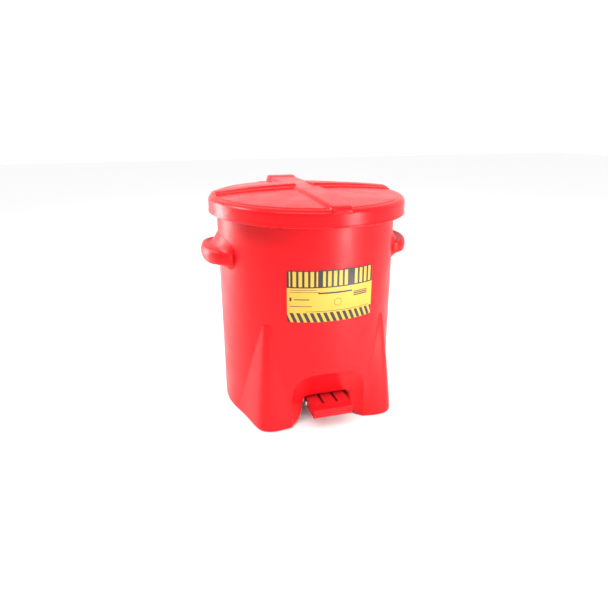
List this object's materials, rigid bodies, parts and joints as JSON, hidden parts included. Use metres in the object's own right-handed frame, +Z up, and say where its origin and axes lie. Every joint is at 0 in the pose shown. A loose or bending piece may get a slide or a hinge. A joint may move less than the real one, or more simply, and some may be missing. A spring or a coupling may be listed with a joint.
{
  "type": "oily waste can",
  "caption": "Round moulded waste can with raised bottom, front feet, side lugs, hinged domed lid, foot pedal and rear lift rod.",
  "frame": {"origin": "on the floor under the can's axis, at the middle of the base", "axes": "+Z up, -Y towards the pedal and the front of the can, +X to the right when looking at its front"},
  "size_m": [0.3788, 0.39, 0.4038],
  "materials": {
    "can_plastic": "satin moulded",
    "lid_plastic": "satin moulded",
    "pedal_plastic": "satin moulded",
    "label_film": "printed film",
    "bright_steel": "ground",
    "zinc_plate": "zinc plated",
    "spring_steel": "blackened",
    "guide_nylon": "matt"
  },
  "bodies": {
    "can": {"body": "can_plastic", "label": "label_film", "rod_guide_lower": "guide_nylon", "rod_guide_upper": "guide_nylon", "rod_guide_screw_lower_left": "zinc_plate", "rod_guide_screw_lower_right": "zinc_plate", "rod_guide_screw_upper_left": "zinc_plate", "rod_guide_screw_upper_right": "zinc_plate", "pivot_bracket_left": "zinc_plate", "pivot_bracket_right": "zinc_plate", "pivot_bracket_screw_left_front": "zinc_plate", "pivot_bracket_screw_left_rear": "zinc_plate", "pivot_bracket_screw_right_front": "zinc_plate", "pivot_bracket_screw_right_rear": "zinc_plate", "pivot_axle": "bright_steel", "axle_clip_left": "spring_steel", "axle_clip_right": "spring_steel"},
    "lid": {"lid": "lid_plastic", "hinge_pin": "bright_steel", "hinge_pin_clip_left": "spring_steel", "hinge_pin_clip_right": "spring_steel", "lift_bracket": "zinc_plate", "lift_bracket_screw_left": "zinc_plate", "lift_bracket_screw_right": "zinc_plate"},
    "lever": {"lever_bar_left": "zinc_plate", "lever_bar_right": "zinc_plate", "axle_spacer_middle": "zinc_plate", "axle_spacer_left": "zinc_plate", "axle_spacer_right": "zinc_plate", "pedal": "pedal_plastic", "pedal_bolt_front": "zinc_plate", "pedal_bolt_rear": "zinc_plate", "pedal_nut_front": "zinc_plate", "pedal_nut_rear": "zinc_plate"},
    "rod": {"lift_rod": "bright_steel", "rod_top_fork": "zinc_plate", "rod_top_pin": "bright_steel", "rod_pin_clip_top": "spring_steel", "rod_bottom_eye": "zinc_plate", "rod_bottom_pin": "bright_steel", "rod_pin_clip_bottom": "spring_steel", "rod_lock_nut_top": "zinc_plate", "rod_lock_nut_bottom": "zinc_plate"}
  },
  "joints": [
    {"name": "lid_hinge", "type": "hinge", "parent": "can", "child": "lid", "pos_m": [0, 0.181, 0.372], "axis": [-1, 0, 0], "range_deg": [0, 60]},
    {"name": "lever_pivot", "type": "hinge", "parent": "can", "child": "lever", "pos_m": [0, 0.018, 0.034], "axis": [1, 0, 0], "range_deg": [0, 7.2]},
    {"name": "rod_slide", "type": "slide", "parent": "can", "child": "rod", "axis": [0, 0, 1], "range_m": [0, 0.0185]}
  ],
  "couplings": [
    {"joint": "lever_pivot", "follows": "lid_hinge", "ratio": 0.11986},
    {"joint": "rod_slide", "follows": "lid_hinge", "m_per_rad": 0.017642}
  ]
}
